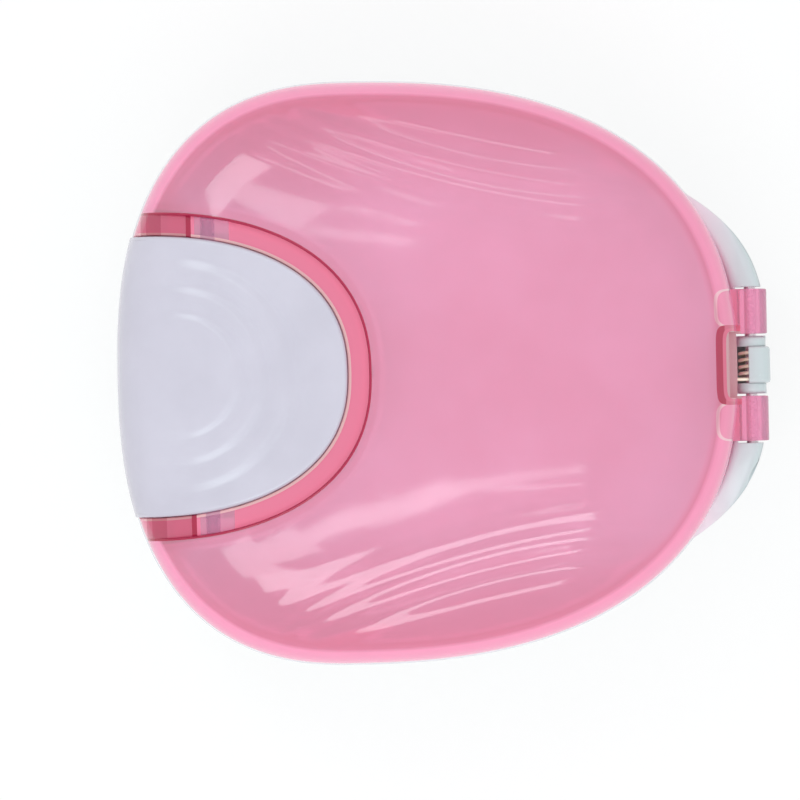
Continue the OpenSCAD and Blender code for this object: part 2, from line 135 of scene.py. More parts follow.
RING_N = 640      # points round the case
DOME_N = 120      # steps up the dome
CAP_STEPS = (0.7, 0.4, 0.15)     # the dome's innermost rings, as shares of the last step's size
NOTCH_N = 120     # points round the button
HINGE_TURN_N, BTN_TURN_N = 40, 48    # points on one turn of each spring


# ---------------------------------------------------------------- outlines
def signed_power(v, p):
    """Power of v's size that keeps v's sign."""
    return np.sign(v) * np.abs(v) ** p


def outline(d, n=RING_N):
    """The case's outline moved inwards by d, counter-clockwise from the rear."""
    t = np.arange(n) * 2 * math.pi / n
    c, s = np.cos(t), np.sin(t)
    e = np.where(c < 0, FRONT_SQ, REAR_SQ)
    a = np.where(c < 0, FRONT_LEN, REAR_LEN) - d
    x = (CASE_W / 2 - d) * signed_power(s, 2 / e)
    y = WIDE_Y + a * signed_power(c, 2 / e)
    return np.stack([-x, y], 1)


def share(x, y, d):
    """1 on the outline moved in by d, 0 at the crown."""
    e = np.where(y < WIDE_Y, FRONT_SQ, REAR_SQ)
    a = np.where(y < WIDE_Y, FRONT_LEN, REAR_LEN) - d
    return (np.abs(x / (CASE_W / 2 - d)) ** e + np.abs((y - WIDE_Y) / a) ** e) ** (1 / e)


def dome_height(r, drop=0.0):
    """Height above the skirt at a share r of the way out, for a crown lowered by drop."""
    return (CROWN_H - drop) * (1 - r ** DOME_SQ) ** (1 / DOME_SQ)


def dome_z(x, y, d=LID_SETBACK):
    return TRAY_H + SKIRT_H + dome_height(np.clip(share(x, y, d), 0, 1))


def ear_y(x):
    """Rear edge of the hinge's ears."""
    return REAR_Y + EAR_PEAK - EAR_BOW * np.abs(x) ** 3.5


def notch_curve(e):
    """Outline of the button's notch moved outwards by e, closed ahead of the case."""
    t = np.linspace(math.pi / 2, -math.pi / 2, NOTCH_N + 1)
    c, s = np.cos(t), np.sin(t)
    x = (BTN_W + e) * signed_power(s, 2 / BTN_SQ)
    y = BTN_Y0 + (BTN_LEN + e) * np.abs(c) ** (2 / BTN_SQ)
    arc = np.stack([x, y], 1)
    side = np.linspace(FRONT_Y - 10, BTN_Y0, 14)[:-1]
    left = np.stack([np.full(len(side), BTN_W + e), side], 1)
    right = np.stack([np.full(len(side), -BTN_W - e), side[::-1]], 1)
    return np.concatenate([left, arc, right])


# ---------------------------------------------------------------- mesh helpers
def new_object(name, verts, faces):
    mesh = bpy.data.meshes.new(name)
    mesh.from_pydata([tuple(v) for v in np.asarray(verts, float) * MM], [], faces)
    obj = bpy.data.objects.new(name, mesh)
    bpy.context.scene.collection.objects.link(obj)
    bm = bmesh.new()
    bm.from_mesh(mesh)
    bmesh.ops.recalc_face_normals(bm, faces=bm.faces)
    bm.to_mesh(mesh)
    bm.free()
    return obj


def loft(name, rings):
    """Closed skin over rings of equal length, each an (n, 3) array."""
    n, m = len(rings[0]), len(rings)
    verts = np.concatenate(list(rings) + [rings[0].mean(0)[None], rings[-1].mean(0)[None]])
    faces = []
    for j in range(m - 1):
        for i in range(n):
            k = (i + 1) % n
            faces.append((j * n + i, j * n + k, (j + 1) * n + k, (j + 1) * n + i))
    for i in range(n):
        k = (i + 1) % n
        faces.append((m * n, k, i))
        faces.append((m * n + 1, (m - 1) * n + i, (m - 1) * n + k))
    return new_object(name, verts, faces)


def ring(points, z):
    z = np.broadcast_to(np.asarray(z, float), (len(points),))
    return np.column_stack([points, z])


def prism(points, z0, z1):
    return loft("prism", [ring(points, z0), ring(points, z1)])


def block(x0, x1, y0, y1, z0, z1):
    verts = [(x, y, z) for x in (x0, x1) for y in (y0, y1) for z in (z0, z1)]
    faces = [(0, 1, 3, 2), (4, 6, 7, 5), (0, 4, 5, 1), (2, 3, 7, 6), (0, 2, 6, 4), (1, 5, 7, 3)]
    return new_object("block", verts, faces)


def on_side(s, near, far):
    """The two distances from the middle as x values on side s, the lower one first."""
    return sorted((s * near, s * far))


def rod(r, x0, x1, y, z, n=96, edge=0.0):
    """Cylinder along X, with rounded ends where edge is given."""
    t = np.arange(n) * 2 * math.pi / n
    steps = [(x0, r), (x1, r)]
    if edge:
        bend = np.linspace(math.pi / 2, 0, 5)
        near = [(x0 + edge * (1 - math.sin(k)), r - edge * (1 - math.cos(k))) for k in bend]
        steps = near + [(x0 + x1 - x, q) for x, q in near[::-1]]
    rings = [np.stack([np.full(n, x), y + q * np.cos(t), z + q * np.sin(t)], 1) for x, q in steps]
    return loft("rod", rings)


def upright(r, y, z0, z1, n=96):
    """Cylinder along Z in the middle of the case."""
    t = np.arange(n) * 2 * math.pi / n
    return prism(np.stack([r * np.cos(t), y + r * np.sin(t)], 1), z0, z1)


def bake(obj):
    """Applies all of an object's modifiers."""
    graph = bpy.context.evaluated_depsgraph_get()
    mesh = bpy.data.meshes.new_from_object(obj.evaluated_get(graph))
    old = obj.data
    obj.modifiers.clear()
    obj.data = mesh
    bpy.data.meshes.remove(old)


def combine(base, operation, *tools):
    """Boolean of base with each tool in turn; the tools are used up."""
    for tool in tools:
        mod = base.modifiers.new("b", "BOOLEAN")
        mod.operation, mod.object, mod.solver = operation, tool, "MANIFOLD"
        bake(base)
        bpy.data.objects.remove(tool)
    return base


def finish(obj, material, angle=24):
    """Smooth shading apart from sharp edges, and the material."""
    for p in obj.data.polygons:
        p.use_smooth = True
    obj.data.set_sharp_from_angle(angle=math.radians(angle))
    mod = obj.modifiers.new("even", "WEIGHTED_NORMAL")
    mod.keep_sharp = True
    bake(obj)
    obj.data.materials.clear()
    obj.data.materials.append(material)
    return obj


# ---------------------------------------------------------------- lid
def smooth(v, a, b):
    """0 below a, 1 above b, with a smooth step between them."""
    t = np.clip((v - a) / (b - a), 0, 1)
    return t * t * (3 - 2 * t)


# each ridge's valley and crest, in mm outwards from the ridges' guide line, and its height
CRESTS = ((-4.4, -2.4, 0.10), (-1.5, 0.0, 0.16), (0.9, 2.9, 0.33), (4.5, 6.9, 0.60))
RIDGE_FROM, RIDGE_FALL, RIDGE_TO = -9.0, -6.0, 13.0    # where the profile starts, first falls and ends
RIDGE_STEP, RIDGE_SOFT, SOFT_REACH = 0.05, 0.42, 36    # its step, the softening's width and reach in steps
RIDGE_MID, RIDGE_TURN, RIDGE_BEND = 22.0, 30, 0.0047   # the guide line: x where it turns, y there, its bend
RIDGE_FADE_OUT, RIDGE_FADE_REAR = (0.86, 0.95), (16, 33)   # where they fade: share of the way out, and y


def ridge_profile():
    """Heights across the ridges: a gentle fall and a short rise for each, softened at the turns."""
    u = np.arange(RIDGE_FROM, RIDGE_TO, RIDGE_STEP)
    at, h = [RIDGE_FROM, RIDGE_FALL], [0.0, 0.0]
    for valley, crest, high in CRESTS:
        at += [valley, crest]
        h += [-high, 0.0]
    v = np.interp(u, at + [RIDGE_TO], h + [0.0])
    k = np.exp(-(np.arange(-SOFT_REACH, SOFT_REACH + 1) * RIDGE_STEP / RIDGE_SOFT) ** 2 / 2)
    return u, np.convolve(v, k / k.sum(), "same")


PROFILE = ridge_profile()


def ridges(x, y):
    """Low shell-like ridges that fan out from the hinge to the front corners."""
    u = np.abs(x) - RIDGE_BEND * (RIDGE_TURN - y) ** 2 - RIDGE_MID
    fade = 1 - smooth(share(x, y, LID_SETBACK), *RIDGE_FADE_OUT)
    fade = fade * (1 - smooth(y, *RIDGE_FADE_REAR))
    return np.interp(u, *PROFILE) * fade


def dome_solid(d, drop, z0, lift=0.0, relief=None):
    """Solid under the dome: the outline moved in by d, up from z0, its crown lowered by drop, all of it
    raised by lift, with a relief on its top where one is given."""
    base = outline(d)
    low = TRAY_H + SKIRT_H + lift
    rings = [ring(base, z0 + lift)]

    def drawn_in(s):
        return np.column_stack([base[:, 0] * s, WIDE_Y + (base[:, 1] - WIDE_Y) * s])

    for angle in np.linspace(math.pi / 2, 0, DOME_N + 1)[:-1]:
        s = math.sin(angle) ** (2 / DOME_SQ)
        p = drawn_in(s)
        z = np.full(len(p), low + (CROWN_H - drop) * math.cos(angle) ** (2 / DOME_SQ))
        if relief is not None:
            z = z + relief(p[:, 0], p[:, 1])
        rings.append(ring(p, z))
    for s in s * np.array(CAP_STEPS):
        rings.append(ring(drawn_in(s), low + dome_height(s, drop)))
    return loft("dome", rings)


def notch_cutter(e, surface, flare):
    """Prism over the notch curve whose edge flares outwards where it leaves a surface."""
    base = notch_curve(e)
    zs = surface(base)
    rings = [ring(base, 0)]
    for angle in np.linspace(0, math.pi / 2, 7):
        grow = flare * (1 - math.cos(angle))
        rings.append(ring(notch_curve(e + grow), zs - flare + flare * math.sin(angle)))
    wide = notch_curve(e + flare * 1.02)
    rings += [ring(wide, zs + 0.6), ring(wide, FAR)]
    return loft("cutter", rings)


def surface_dome(p, drop=0.0):
    return dome_z(p[:, 0], p[:, 1]) - drop


def hook(s):
    """Hook that hangs from the ledge beside the button, with a sloped barb."""
    x0, x1 = on_side(s, HOOK_X0, HOOK_X1)
    stem = block(x0, x1, HOOK_Y0, HOOK_SEAT_Y, BARB_Z, TRAY_H + 20)
    combine(stem, "UNION", block(x0, x1, HOOK_Y0, BARB_Y, BARB_Z, BARB_Z + CATCH_T))
    wedge = block(x0 - 1, x1 + 1, -BARB_CUT, BARB_CUT, -BARB_CUT, BARB_CUT)
    wedge.rotation_euler = (math.pi / 4, 0, 0)
    wedge.location = Vector((0, BARB_Y, BARB_Z)) * MM
    bpy.context.view_layer.update()
    combine(stem, "DIFFERENCE", wedge)
    return combine(stem, "INTERSECT", dome_solid(LID_SETBACK + 0.3, 0, TRAY_H - 9, lift=-LEDGE_DROP - 0.5))


def lid_knuckle(s):
    x0, x1 = on_side(s, KNUCKLE_X, KNUCKLE_X + KNUCKLE_W)
    knuckle = rod(KNUCKLE_R, x0, x1, HINGE_Y, HINGE_Z, edge=ROD_EDGE)
    root = block(x0, x1, NOTCH_Y - 0.1, HINGE_Y, LID_Z, HINGE_Z + KNUCKLE_R - 0.02)
    return combine(knuckle, "UNION", root)


def build_lid():
    shell = dome_solid(LID_SETBACK, 0, LID_Z, relief=ridges)
    # hollow, kept away from the notch for the button and from the one for the hinge
    hollow = dome_solid(LID_SETBACK + LID_WALL, LID_WALL, LID_Z - 1)
    round_hinge = NOTCH_HW + NOTCH_SIDE
    combine(hollow, "DIFFERENCE", prism(notch_curve(LEDGE_OUT + RISER), 0, FAR),
            block(-round_hinge, round_hinge, NOTCH_Y - NOTCH_WALL, REAR_Y + 9, 0, FAR))
    combine(shell, "DIFFERENCE", hollow)
    # the hollow under the ledge
    under = dome_solid(LID_SETBACK + LID_WALL, 0, LID_Z - 1, lift=-LEDGE_DROP - LID_WALL)
    zone = prism(notch_curve(LEDGE_OUT + RISER + 0.01), TRAY_H - 5, FAR)
    keep = prism(notch_curve(BTN_GAP + CURTAIN_T), 0, FAR + 1)
    combine(keep, "DIFFERENCE", block(-FAR, FAR, NOSE_Y + 0.1, CURTAIN_Y, -1, FAR + 2))
    combine(zone, "DIFFERENCE", keep)
    combine(under, "INTERSECT", zone)
    combine(shell, "DIFFERENCE", under)
    # the sunken ledge, with a rounded edge, and the notches themselves
    sunk = notch_cutter(LEDGE_OUT, surface_dome, LEDGE_FLARE)
    combine(sunk, "DIFFERENCE", dome_solid(LID_SETBACK - 1, 0, LID_Z - 30, lift=-LEDGE_DROP))
    combine(shell, "DIFFERENCE", sunk,
            notch_cutter(SEEN_GAP, lambda p: surface_dome(p, LEDGE_DROP), NOTCH_FLARE),
            block(-NOTCH_HW, NOTCH_HW, NOTCH_Y, REAR_Y + 9, SHELF_Z + SHELF_T, FAR),
            block(-NOTCH_HW, NOTCH_HW, NOTCH_Y, REAR_Y + 9, 0, SHELF_Z))
    # the wall that hangs round the button
    curtain = prism(notch_curve(BTN_GAP + CURTAIN_T), TRAY_H - CURTAIN_BELOW, LID_Z + 1)
    combine(curtain, "DIFFERENCE", prism(notch_curve(SEEN_GAP), 0, FAR),
            block(-FAR, FAR, FRONT_Y - 20, CURTAIN_Y, 0, FAR))
    combine(shell, "UNION", curtain, *(hook(s) for s in (1, -1)))
    combine(shell, "UNION", *(lid_knuckle(s) for s in (1, -1)))
    return combine(shell, "DIFFERENCE", rod(PIN_D / 2 + PIN_CLEAR, -SLOT_HW, SLOT_HW, HINGE_Y, HINGE_Z, 48))


# ---------------------------------------------------------------- button
RIPPLES = ((9.0, 1.3), (12.6, 1.4), (16.4, 1.6))     # radius and half width of each ripple
RIPPLE_Y, RIPPLE_H, RIPPLE_SHARP = -37.0, 0.27, 0.62   # their middle, depth, and how sharp they are
RIPPLE_FADE = (82, 118)                              # degrees from the hinge's direction


def ripple(x, y):
    """Shallow rings round the front of the button, fading towards its sides."""
    r = np.hypot(x, y - RIPPLE_Y)
    turn = np.degrees(np.abs(np.arctan2(x, y - RIPPLE_Y)))     # 0 towards the hinge
    h = sum(np.exp(-((r - radius) / (half * RIPPLE_SHARP)) ** 2) for radius, half in RIPPLES)
    return -RIPPLE_H * h * (1 - smooth(turn, *RIPPLE_FADE))


def rounded_prism(low, edge, surface):
    """Prism over the button's outline whose edge rounds inwards where it meets a surface."""
    rings = [ring(notch_curve(0), low)]
    for angle in np.linspace(0, math.pi / 2, 9):
        p = notch_curve(-edge * (1 - math.cos(angle)))
        rings.append(ring(p, surface(p) - edge * (1 - math.sin(angle))))
    rings.append(ring(notch_curve(-edge), FAR))
    return loft("prism", rings)


def surface_button(p):
    return dome_z(p[:, 0], p[:, 1], 0.0) - BTN_SINK


def build_button():
    shell = dome_solid(0, 0, TRAY_H - 2, lift=-BTN_SINK, relief=ripple)
    combine(shell, "INTERSECT", rounded_prism(TRAY_H + BTN_TRAVEL, BTN_EDGE, surface_button))
    hollow = dome_solid(BTN_WALL, BTN_WALL, TRAY_H - 3, lift=-BTN_SINK)
    combine(hollow, "INTERSECT", prism(notch_curve(-BTN_SKIN), 0, FAR - 1))
    combine(shell, "DIFFERENCE", hollow,
            block(-FAR, FAR, NOSE_Y, BRACKET_Y1, 0, SIDE_Z),
            block(-FAR, FAR, BRACKET_Y1 - 1, 0, 0, PIVOT_Z + 2))
    # seat and peg of the button's spring
    pad = dome_solid(BTN_WALL / 2, BTN_WALL / 2, TRAY_H - 2, lift=-BTN_SINK)
    posts = upright(BTN_COIL_R + BTN_WIRE / 2 + POST_OUT, SPRING_Y, PAD_Z, PAD_Z + 9)
    peg_r = BTN_COIL_R - BTN_WIRE / 2 - PEG_ROOM
    combine(posts, "UNION", upright(peg_r, SPRING_Y, PAD_Z - 2, PAD_Z + 1))
    combine(pad, "INTERSECT", posts)
    combine(shell, "UNION", pad)
    # arms with their catches, and stubs with their bosses
    for s in (1, -1):
        parts = [
            (ARM_X0, ARM_X1, CATCH_Y + 1.2, ARM_Y1, CATCH_Z, SIDE_Z + 1),
            (ARM_X0, ARM_X1, BRACKET_Y0 - 0.4, ARM_Y1, SIDE_Z, PIVOT_Z + 3),
            (ARM_X0, HOOK_X1 - 0.1, CATCH_Y, CATCH_Y + 1.3, CATCH_Z, CATCH_Z + CATCH_T),
        ]
        combine(shell, "UNION", *(block(*on_side(s, near, far), *rest) for near, far, *rest in parts))
        boss = on_side(s, ARM_X1 - 1.6, BRACKET_IN - 0.3)
        stub = on_side(s, ARM_X1 - 1, BRACKET_IN + BRACKET_T - 0.2)
        combine(shell, "UNION", rod(PIVOT_D / 2 + BOSS_OUT, *boss, PIVOT_Y, PIVOT_Z, 64, edge=BOSS_EDGE),
                rod(PIVOT_D / 2, *stub, PIVOT_Y, PIVOT_Z, 48, edge=ROD_EDGE))
    return shell


# ---------------------------------------------------------------- tray
def tray_ring(d, z, k, z_ear=None):
    """Ring of the tray's outside, swollen by k towards the ears; z_ear is its height there, if it differs."""
    p = outline(d)
    x, y = p[:, 0], p[:, 1]
    reach = np.where(y > WIDE_Y, np.maximum(y, np.minimum(HINGE_Y + EAR_R, ear_y(x))), y)
    if z_ear is not None:
        z = np.where(reach > y, z_ear, z)
    return ring(np.stack([x, y + k * (reach - y)], 1), z)


def case_y(x, d):
    """Rear edge of the outline moved in by d, at a distance x from the middle."""
    return WIDE_Y + (REAR_LEN - d) * (1 - (abs(x) / (CASE_W / 2 - d)) ** REAR_SQ) ** (1 / REAR_SQ)


def ear(s):
    """Smooth swelling over one end of the pin, fading into the rim."""
    rings = []
    for t in np.linspace(0, 1, 40):
        x = SLOT_HW - 0.6 + EAR_LEN * t
        out = min(HINGE_Y + EAR_R, ear_y(x)) - 0.12
        back = case_y(x, LID_SETBACK) + 0.15
        high = EAR_HIGH * (1 - smooth(t, 0.0, 1.0)) - 0.04
        v = np.linspace(0, math.pi, 30)
        y = (out + back) / 2 - (out - back) / 2 * signed_power(np.cos(v), EAR_ACROSS)
        z = TRAY_H - 0.02 + high * np.sin(v) ** EAR_UP
        y = np.concatenate([y, [out, back]])
        z = np.concatenate([z, [TRAY_H - EAR_SINK, TRAY_H - EAR_SINK]])
        rings.append(np.stack([np.full(len(y), s * x), y, z], 1))
    return loft("ear", rings)


def tray_outside():
    """The tray's foot, wall and flange, with a fine groove where the lid's edge meets the rim."""
    foot_d, low_z = FLANGE_OUT + 1.2, TRAY_H - FLANGE_T
    rings = []
    for angle in np.linspace(0, math.pi / 2, 15):
        inset, rise = FOOT_R * (1 - math.sin(angle)), FOOT_R * (1 - math.cos(angle))
        rings.append(tray_ring(foot_d + inset, rise, 0))
    steps = [
        (FLANGE_OUT + 0.4, low_z - 7, 0.3), (FLANGE_OUT + 0.2, low_z - 4, 0.75),
        (FLANGE_OUT, low_z - 1, 1), (FLANGE_OUT - 0.08, low_z - 0.45, 1),
        (0.25, low_z - 0.02, 1), (0.08, low_z + 0.12, 1), (0.0, low_z + 0.4, 1),
        (0.0, TRAY_H - 0.45, 1), (0.05, TRAY_H - 0.2, 1), (0.17, TRAY_H - 0.06, 1),
        (GROOVE_OUT - 0.03, TRAY_H - 0.04, 1), (GROOVE_OUT, TRAY_H - GROOVE_DEEP, 1, TRAY_H - 0.03),
        (GROOVE_IN, TRAY_H - GROOVE_DEEP, 1, TRAY_H - 0.02), (GROOVE_IN + 0.03, TRAY_H, 1),
    ]
    return loft("tray", rings + [tray_ring(*step) for step in steps])


def tray_hollow():
    """Inside of the tray, less the wall round the button's well."""
    low_d, top_d = FLANGE_OUT + 1.2 + TRAY_WALL, LID_SETBACK + LID_WALL + LIP_CLEAR + LIP_T
    bend = FOOT_R - FLOOR_T
    rings = []
    for angle in np.linspace(0, math.pi / 2, 13):
        inset, rise = bend * (1 - math.sin(angle)), bend * (1 - math.cos(angle))
        rings.append(ring(outline(low_d + inset), FLOOR_T + rise))
    rings += [ring(outline(top_d), TRAY_H - 2), ring(outline(top_d), TRAY_H + LIP_H + 1)]
    wall = prism(notch_curve(WELL_E + WELL_WALL), 0, TRAY_H)
    combine(wall, "DIFFERENCE", prism(notch_curve(WELL_E), -1, TRAY_H + 1))
    return combine(loft("hollow", rings), "DIFFERENCE", wall)


def bracket(s):
    """Post with a notch in its top that takes one of the button's stubs."""
    x0, x1 = on_side(s, BRACKET_IN, BRACKET_IN + BRACKET_T)
    post = block(x0, x1, BRACKET_Y0 + 1, BRACKET_Y1, FLOOR_T - 0.5, PIVOT_Z)
    combine(post, "UNION", block(x0, x1, BRACKET_Y0, BRACKET_Y1, PIVOT_Z - 4, BRACKET_TOP))
    mouth = PIVOT_D * 0.4
    return combine(post, "DIFFERENCE", block(x0 - 1, x1 + 1, PIVOT_Y - mouth, PIVOT_Y + mouth,
                                             PIVOT_Z, BRACKET_TOP + 1))


def spring_cup():
    """Cup for the button's spring, on crossed ribs."""
    r, half = BTN_COIL_R + BTN_WIRE / 2 + CUP_ROOM, CUP_RIB_HW
    cup = upright(r + CUP_WALL, SPRING_Y, SEAT_Z - CUP_FLOOR, SEAT_Z + CUP_DEEP)
    combine(cup, "DIFFERENCE", upright(r, SPRING_Y, SEAT_Z, SEAT_Z + 9))
    return combine(cup, "UNION",
                   block(-r, r, SPRING_Y - half, SPRING_Y + half, FLOOR_T - 0.5, SEAT_Z - 1),
                   block(-half, half, SPRING_Y - r, SPRING_Y + r, FLOOR_T - 0.5, SEAT_Z - 1))


def add_hinge(tray):
    """Rib and middle barrel of the hinge, with the room for the spring and its leg."""
    rear = HINGE_Y + BARREL_R
    profile = [(REAR_Y - 2.6, TRAY_H - RIB_DEEP), (REAR_Y - 0.8, TRAY_H - RIB_DEEP),
               (rear - 0.9, TRAY_H - RIB_BEND), (rear - 0.6, TRAY_H), (REAR_Y - 2.6, TRAY_H)]
    rib = loft("rib", [np.array([(x, y, z) for y, z in profile]) for x in (-BARREL_HW, BARREL_HW)])
    combine(tray, "UNION", rib, rod(BARREL_R, -SPRING_HW, SPRING_HW, HINGE_Y, HINGE_Z, edge=BARREL_EDGE))
    for s in (1, -1):
        end = on_side(s, SPRING_HW - 0.5, BARREL_HW)
        combine(tray, "UNION", rod(BARREL_R - BARREL_END_STEP, *end, HINGE_Y, HINGE_Z, edge=BARREL_END_EDGE))
    for s in (1, -1):
        room = on_side(s, BARREL_HW, SLOT_HW)
        combine(tray, "DIFFERENCE", rod(KNUCKLE_R + 0.3, *room, HINGE_Y, HINGE_Z))
    leg_y = HINGE_Y + HINGE_COIL_R
    window_y = HINGE_Y - WINDOW_IN
    combine(tray, "DIFFERENCE",
            rod(SPRING_ROOM, -SPRING_HW, SPRING_HW, HINGE_Y, HINGE_Z),
            block(-SPRING_HW, SPRING_HW, HINGE_Y - BARREL_R - 1, window_y, HINGE_Z, HINGE_Z + 9),
            block(-COIL_X - LEG_SLOT_HW, -COIL_X + LEG_SLOT_HW, leg_y - 0.8, leg_y + 0.35,
                  HINGE_Z - 6.5, HINGE_Z),
            rod(PIN_D / 2 + PIN_CLEAR, -SLOT_HW - 1.9, SLOT_HW + 9, HINGE_Y, HINGE_Z, 48))


def build_tray():
    tray = tray_outside()
    lip = prism(outline(LID_SETBACK + LID_WALL + LIP_CLEAR), TRAY_H - 1, TRAY_H + LIP_H)
    beside_btn, beside_hinge = BTN_W + 6, NOTCH_HW + NOTCH_SIDE + 0.6
    combine(lip, "DIFFERENCE",
            block(-beside_btn, beside_btn, FRONT_Y - 1, BARB_Y + 1, TRAY_H - 2, TRAY_H + 9),
            block(-beside_hinge, beside_hinge, REAR_Y - 8, REAR_Y + 1, TRAY_H - 2, TRAY_H + 9))
    combine(tray, "UNION", lip, *(ear(s) for s in (1, -1)))
    combine(tray, "DIFFERENCE", tray_hollow(),
            block(-SLOT_HW, SLOT_HW, REAR_Y - 0.3, HINGE_Y + 9, -1, TRAY_H + 9))
    for s in (1, -1):
        x0, x1 = on_side(s, HOOK_X0 - 0.4, HOOK_X1 + 0.4)
        combine(tray, "DIFFERENCE", block(x0, x1, HOOK_Y0 - 0.5, BARB_Y, BARB_Z - 1, TRAY_H + 9))
    combine(tray, "UNION", *(bracket(s) for s in (1, -1)), spring_cup())
    add_hinge(tray)
    stub_bore = rod(PIVOT_D / 2 + PIVOT_CLEAR, -BRACKET_IN - 9, BRACKET_IN + 9, PIVOT_Y, PIVOT_Z, 48)
    return combine(tray, "DIFFERENCE", stub_bore)


# ---------------------------------------------------------------- springs and pin
WIRE_TIP = ((0.55, 0.0), (0.9, 0.12), (1.0, 0.3))   # rounded end: share of the radius, radii from the end


def wire(name, path, r, sides=14):
    """Round wire along a smooth path, with rounded ends."""
    path = np.asarray(path, float)
    tangent = np.gradient(path, axis=0)
    tangent /= np.linalg.norm(tangent, axis=1)[:, None]
    normal = np.cross(tangent[0], (0.3, 0.2, 1.0))
    rings = []
    k = np.arange(sides) * 2 * math.pi / sides
    last = len(path) - 1
    for i, (place, along) in enumerate(zip(path, tangent)):
        normal = normal - along * np.dot(normal, along)
        normal /= np.linalg.norm(normal)
        side = np.cross(along, normal)
        steps = [(1.0, 0.0)]
        if i == 0:
            steps = WIRE_TIP
        elif i == last:
            steps = [(scale, -shift) for scale, shift in WIRE_TIP[::-1]]
        for scale, shift in steps:
            middle = place + along * shift * r
            rings.append(middle + scale * r * (np.cos(k)[:, None] * normal + np.sin(k)[:, None] * side))
    return loft(name, rings)


def hinge_spring_path():
    """Leg down into the rib, the coils round the pin, and the leg under the lid's shelf."""
    turn = np.arange(0, HINGE_TURN_N * HINGE_COILS + 1) / HINGE_TURN_N
    angle = 2 * math.pi * turn
    coil = np.stack([-COIL_X + HINGE_PITCH * turn, HINGE_Y + HINGE_COIL_R * np.cos(angle),
                     HINGE_Z + HINGE_COIL_R * np.sin(angle)], 1)
    low_z = np.linspace(HINGE_Z - 5.5, HINGE_Z - 0.5, 12)
    top_y = np.linspace(HINGE_Y - 0.4, NOTCH_Y + 0.35, 10)
    low = np.array([(-COIL_X, HINGE_Y + HINGE_COIL_R, z) for z in low_z])
    top = np.array([(COIL_X, y, HINGE_Z + HINGE_COIL_R) for y in top_y])
    return np.concatenate([low, coil, top])


def button_spring_path():
    low, high = SEAT_Z + BTN_WIRE / 2 + 0.02, PAD_Z - BTN_WIRE / 2 - 0.02
    turn = np.arange(0, BTN_TURN_N * BTN_COILS + 1) / BTN_TURN_N
    angle = 2 * math.pi * turn
    coil = np.stack([BTN_COIL_R * np.cos(angle), SPRING_Y + BTN_COIL_R * np.sin(angle),
                     low + (high - low) * turn / BTN_COILS], 1)
    start, end = (BTN_COIL_R, SPRING_Y - BTN_WIRE, low), (BTN_COIL_R, SPRING_Y + BTN_WIRE, high)
    return np.concatenate([[start], coil, [end]])


def build_pin():
    half = SLOT_HW + 1.8
    return rod(PIN_D / 2, -half, half, HINGE_Y, HINGE_Z, 64, edge=ROD_EDGE)


# ---------------------------------------------------------------- materials
LID_IOR = 1.58
DYE, DYE_DENSITY = (0.947, 0.044, 0.428, 1.0), 262.0   # what a metre of the lid's plastic takes out

# share of the lid's surface that scatters light: anywhere, in the knuckles, where the plastic is thick,
# along the notch's upper edge and where dark red is painted as deep dye and painted shade
VEIL, VEIL_KNUCKLE, VEIL_THICK, VEIL_BRIM, VEIL_DARK = 0.41, 0.35, 0.78, 0.8, 0.97
VEIL_SIDE, VEIL_SIDE_EDGE = 0.52, 0.8   # on the lid's side, seen straight on and seen edge-on

# the veil's colours, as 8-bit values; some hold painted shade and some painted light, as said where they are
# used
MILK, MILK_LIGHT, SHADE_STEEP, PAINTED_RIM_LIGHT = (241, 172, 200), (250, 187, 218), (240, 152, 181), (255, 158, 196)
MILK_ROOT, PAINTED_GLINT, MILK_KNUCKLE = (236, 140, 172), (255, 226, 230), (244, 170, 208)
MILK_THICK, MILK_BRIM, MILK_PLATE = (246, 130, 164), (246, 196, 198), (208, 168, 174)
MILK_STUB, DEEP_DYE_AND_SHADE = (170, 112, 158), (166, 10, 62)

# bands across the ledge, from front to rear, where the latch shows through it
HOOK_SEEN, CORE_SEEN = (HOOK_Y0 - 2.2, BARB_Y - 0.2), (HOOK_Y0 - 1.4, HOOK_Y0 + 0.7)
BARB_SEEN, STUB_SEEN = (BARB_Y - 0.2, BARB_Y + 0.5), (PIVOT_Y - 0.9, PIVOT_Y + 1.1)
BRACKET_SEEN = (BRACKET_Y0 - 0.1, BRACKET_Y1 + 0.1)
STEP_RING, BRIM_RING = (LEDGE_OUT - 0.02, LEDGE_OUT + 0.34), (0.0, 0.52)   # round the button's outline
DARK_HOOK, DARK_CORE, DARK_STEP = 0.5, 0.72, 0.25      # how dark each of these is painted, next to the barb: the hooks' deep dye with painted shade, and painted shade on the step
DARK_WALL, DARK_FAR = 0.4, 0.5                         # painted shade on the notch's wall, and what its far part adds

# what shows round the hinge's notch, in mm beside it and ahead of it, and how square its corners are
WALL_SEEN, STEP_SEEN, PLATE_SEEN, NOTCH_SQ = (0.95, 1.95), (0.5, 0.95), (0.12, 0.45), 7
ROOT_Y = NOTCH_Y - 2.1                 # how far in the knuckles' roots show through the lid
ROOT_MID, ROOT_HW = KNUCKLE_X + KNUCKLE_W / 2 + 0.4, KNUCKLE_W / 2 - 0.4
ROOT_SQ, ROOT_EDGE = 4, 0.5            # its corners, and the width of the painted highlight along its edge
RIM_SQ, RIM_FROM, RIM_FULL = 2.45, 0.93, 0.958   # the lid's side, painted bright pink as painted light, as shares of the way out to its edge
STEEP_X, STEEP_Y = (23, 38), (-34, -42)          # where the dome turns steep and its painted shade grows, beside and ahead
